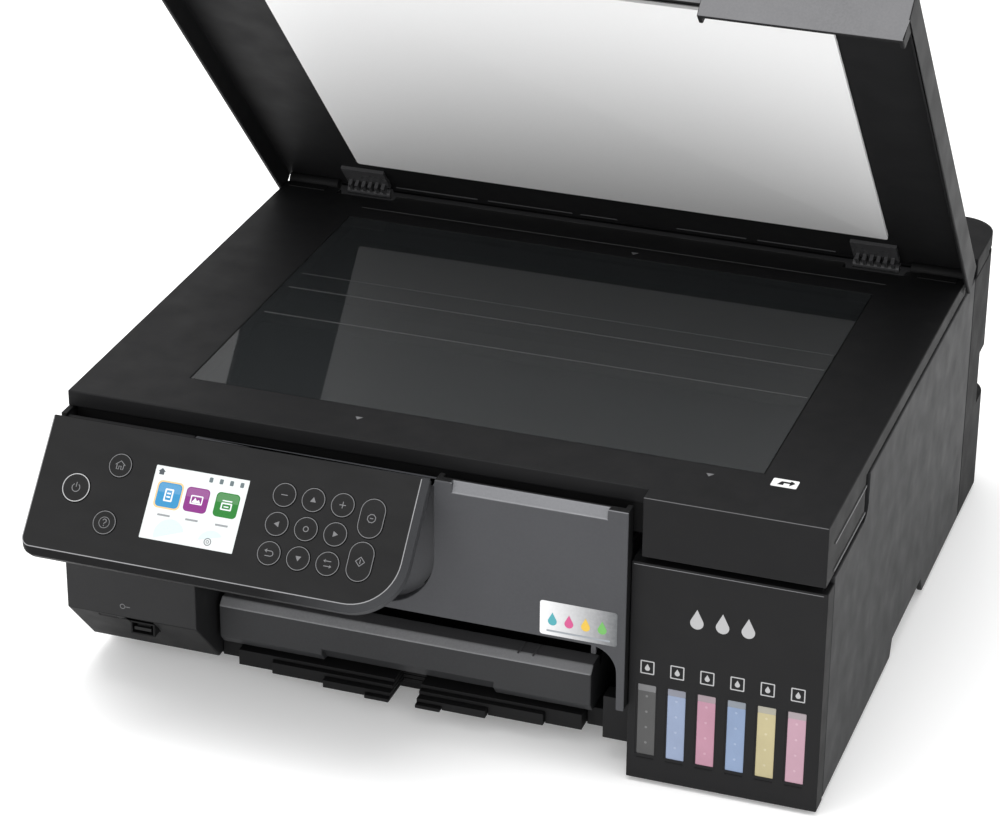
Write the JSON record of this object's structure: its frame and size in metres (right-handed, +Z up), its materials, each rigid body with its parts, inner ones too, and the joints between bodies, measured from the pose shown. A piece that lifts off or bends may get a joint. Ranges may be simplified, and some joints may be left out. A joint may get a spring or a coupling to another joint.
{
  "type": "inkjet printer",
  "caption": "Inkjet all-in-one: refillable ink tanks behind front windows, flatbed scanner under a hinged lid, tilting control panel, paper cassette and telescopic output tray.",
  "frame": {"origin": "middle of the footprint, on the floor under the printer", "axes": "+X to the right seen from the front, +Y to the back, +Z up"},
  "size_m": [0.408, 0.4432, 0.398],
  "materials": {
    "case_black": "fine matt texture",
    "case_grey": "fine matt texture",
    "bar_grey": "satin",
    "inner_dark": "matt",
    "panel_gloss": "semi gloss",
    "key_gloss": "semi gloss with pale rings",
    "mat_white": "smooth white sheet on foam",
    "glass": "polished",
    "display": "lit screen",
    "steel": "zinc plated sheet",
    "inner_grey": "matt",
    "rubber": "matt",
    "ink_tank": "translucent resin",
    "board": "solder mask",
    "clear_strip": "clear film"
  },
  "bodies": {
    "base": {"left_side_panel": "case_black", "left_front_block": "case_black", "tank_front": "case_black", "rear_case": "case_black", "right_side_panel": "case_grey", "front_cover": "case_grey", "lower_case": "inner_dark", "mains_inlet": "inner_dark", "platen": "inner_dark", "power_supply": "inner_dark", "usb_socket": "steel", "chassis_rail": "steel", "carriage_motor": "steel", "feed_motor": "steel", "capping_station": "inner_grey", "maintenance_box": "inner_grey", "tank_caps": "rubber", "carriage_belt": "rubber", "ink_tank_unit": "ink_tank", "main_board": "board", "encoder_strip": "clear_strip"},
    "scanner": {"scanner_tub": "case_black", "scanner_frame": "case_black", "scanner_glass": "glass", "scan_rod": "steel"},
    "scan_head": {"scan_bar": "inner_dark"},
    "lid": {"lid_shell": "case_black", "lid_mat": "mat_white", "lid_hinge_left": "inner_dark", "lid_hinge_right": "inner_dark"},
    "panel": {"panel_housing": "panel_gloss", "panel_display": "display"},
    "cassette": {"cassette": "bar_grey"},
    "guide_left": {"edge_guide_left": "inner_grey"},
    "guide_right": {"edge_guide_right": "inner_grey"},
    "tray_1": {"output_tray_1": "inner_dark"},
    "tray_2": {"output_tray_2": "inner_dark"},
    "tray_3": {"output_tray_3": "inner_dark"},
    "tray_4": {"output_tray_4": "inner_dark"},
    "carriage": {"print_carriage": "inner_dark", "print_head": "inner_grey"},
    "motor_pulley": {"motor_pulley": "steel"},
    "idler_pulley": {"idler_pulley": "steel"},
    "feed_roller": {"feed_roller": "rubber"},
    "exit_roller": {"exit_roller": "rubber"},
    "feed_cover": {"rear_feed_cover": "case_black"},
    "key_power": {"key_power": "key_gloss"},
    "key_home": {"key_home": "key_gloss"},
    "key_help": {"key_help": "key_gloss"},
    "key_minus": {"key_minus": "key_gloss"},
    "key_up": {"key_up": "key_gloss"},
    "key_plus": {"key_plus": "key_gloss"},
    "key_left": {"key_left": "key_gloss"},
    "key_select": {"key_select": "key_gloss"},
    "key_right": {"key_right": "key_gloss"},
    "key_back": {"key_back": "key_gloss"},
    "key_down": {"key_down": "key_gloss"},
    "key_duplex": {"key_duplex": "key_gloss"},
    "key_stop": {"key_stop": "key_gloss"},
    "key_start": {"key_start": "key_gloss"}
  },
  "joints": [
    {"name": "scanner_lift", "type": "hinge", "parent": "base", "child": "scanner", "pos_m": [0, 0.14162, 0.15], "axis": [-1, 0, 0], "range_deg": [0, 30]},
    {"name": "lid_hinge", "type": "hinge", "parent": "scanner", "child": "lid", "pos_m": [0, 0.13662, 0.164], "axis": [-1, 0, 0], "range_deg": [-48.1, 22]},
    {"name": "scan_head_slide", "type": "slide", "parent": "scanner", "child": "scan_head", "axis": [1, 0, 0], "range_m": [0, 0.31]},
    {"name": "panel_tilt", "type": "hinge", "parent": "base", "child": "panel", "pos_m": [0, -0.1722, 0.15129], "axis": [-1, 0, 0], "range_deg": [-41.6, 20]},
    {"name": "key_power_press", "type": "slide", "parent": "panel", "child": "key_power", "axis": [0, 0.7478, -0.6639], "range_m": [0, 0.001], "stiffness_N_per_m": 400},
    {"name": "key_home_press", "type": "slide", "parent": "panel", "child": "key_home", "axis": [0, 0.7478, -0.6639], "range_m": [0, 0.001], "stiffness_N_per_m": 400},
    {"name": "key_help_press", "type": "slide", "parent": "panel", "child": "key_help", "axis": [0, 0.7478, -0.6639], "range_m": [0, 0.001], "stiffness_N_per_m": 400},
    {"name": "key_minus_press", "type": "slide", "parent": "panel", "child": "key_minus", "axis": [0, 0.7478, -0.6639], "range_m": [0, 0.001], "stiffness_N_per_m": 400},
    {"name": "key_up_press", "type": "slide", "parent": "panel", "child": "key_up", "axis": [0, 0.7478, -0.6639], "range_m": [0, 0.001], "stiffness_N_per_m": 400},
    {"name": "key_plus_press", "type": "slide", "parent": "panel", "child": "key_plus", "axis": [0, 0.7478, -0.6639], "range_m": [0, 0.001], "stiffness_N_per_m": 400},
    {"name": "key_left_press", "type": "slide", "parent": "panel", "child": "key_left", "axis": [0, 0.7478, -0.6639], "range_m": [0, 0.001], "stiffness_N_per_m": 400},
    {"name": "key_select_press", "type": "slide", "parent": "panel", "child": "key_select", "axis": [0, 0.7478, -0.6639], "range_m": [0, 0.001], "stiffness_N_per_m": 400},
    {"name": "key_right_press", "type": "slide", "parent": "panel", "child": "key_right", "axis": [0, 0.7478, -0.6639], "range_m": [0, 0.001], "stiffness_N_per_m": 400},
    {"name": "key_back_press", "type": "slide", "parent": "panel", "child": "key_back", "axis": [0, 0.7478, -0.6639], "range_m": [0, 0.001], "stiffness_N_per_m": 400},
    {"name": "key_down_press", "type": "slide", "parent": "panel", "child": "key_down", "axis": [0, 0.7478, -0.6639], "range_m": [0, 0.001], "stiffness_N_per_m": 400},
    {"name": "key_duplex_press", "type": "slide", "parent": "panel", "child": "key_duplex", "axis": [0, 0.7478, -0.6639], "range_m": [0, 0.001], "stiffness_N_per_m": 400},
    {"name": "key_stop_press", "type": "slide", "parent": "panel", "child": "key_stop", "axis": [0, 0.7478, -0.6639], "range_m": [0, 0.001], "stiffness_N_per_m": 400},
    {"name": "key_start_press", "type": "slide", "parent": "panel", "child": "key_start", "axis": [0, 0.7478, -0.6639], "range_m": [0, 0.001], "stiffness_N_per_m": 400},
    {"name": "cassette_slide", "type": "slide", "parent": "base", "child": "cassette", "axis": [0, -1, 0], "range_m": [0, 0.25]},
    {"name": "guide_left_slide", "type": "slide", "parent": "cassette", "child": "guide_left", "axis": [1, 0, 0], "range_m": [0, 0.05]},
    {"name": "guide_right_slide", "type": "slide", "parent": "cassette", "child": "guide_right", "axis": [1, 0, 0], "range_m": [-0.05, 0]},
    {"name": "tray_1_slide", "type": "slide", "parent": "base", "child": "tray_1", "axis": [0, -1, 0], "range_m": [0, 0.06]},
    {"name": "tray_2_slide", "type": "slide", "parent": "tray_1", "child": "tray_2", "axis": [0, -1, 0], "range_m": [0, 0.08]},
    {"name": "tray_3_slide", "type": "slide", "parent": "tray_2", "child": "tray_3", "axis": [0, -1, 0], "range_m": [0, 0.08]},
    {"name": "tray_4_slide", "type": "slide", "parent": "tray_3", "child": "tray_4", "axis": [0, -1, 0], "range_m": [0, 0.08]},
    {"name": "carriage_slide", "type": "slide", "parent": "base", "child": "carriage", "axis": [-1, 0, 0], "range_m": [0, 0.285]},
    {"name": "motor_pulley_spin", "type": "hinge", "parent": "base", "child": "motor_pulley", "pos_m": [0.172, 0.07162, 0.106], "axis": [0, 1, 0], "range_deg": [0, 2200]},
    {"name": "idler_pulley_spin", "type": "hinge", "parent": "base", "child": "idler_pulley", "pos_m": [-0.172, 0.07162, 0.106], "axis": [0, 1, 0], "range_deg": [0, 2200]},
    {"name": "feed_roller_spin", "type": "hinge", "parent": "base", "child": "feed_roller", "pos_m": [0, 0.08562, 0.068], "axis": [1, 0, 0], "continuous": true},
    {"name": "exit_roller_spin", "type": "hinge", "parent": "base", "child": "exit_roller", "pos_m": [0, -0.01438, 0.068], "axis": [1, 0, 0], "continuous": true},
    {"name": "feed_cover_hinge", "type": "hinge", "parent": "base", "child": "feed_cover", "pos_m": [0, 0.21762, 0.1552], "axis": [-1, 0, 0], "range_deg": [0, 100]}
  ],
  "couplings": [
    {"joint": "guide_right_slide", "follows": "guide_left_slide", "ratio": -1},
    {"joint": "motor_pulley_spin", "follows": "carriage_slide", "rad_per_m": 131.58},
    {"joint": "idler_pulley_spin", "follows": "carriage_slide", "rad_per_m": 131.58},
    {"joint": "exit_roller_spin", "follows": "feed_roller_spin", "ratio": 1.2}
  ]
}
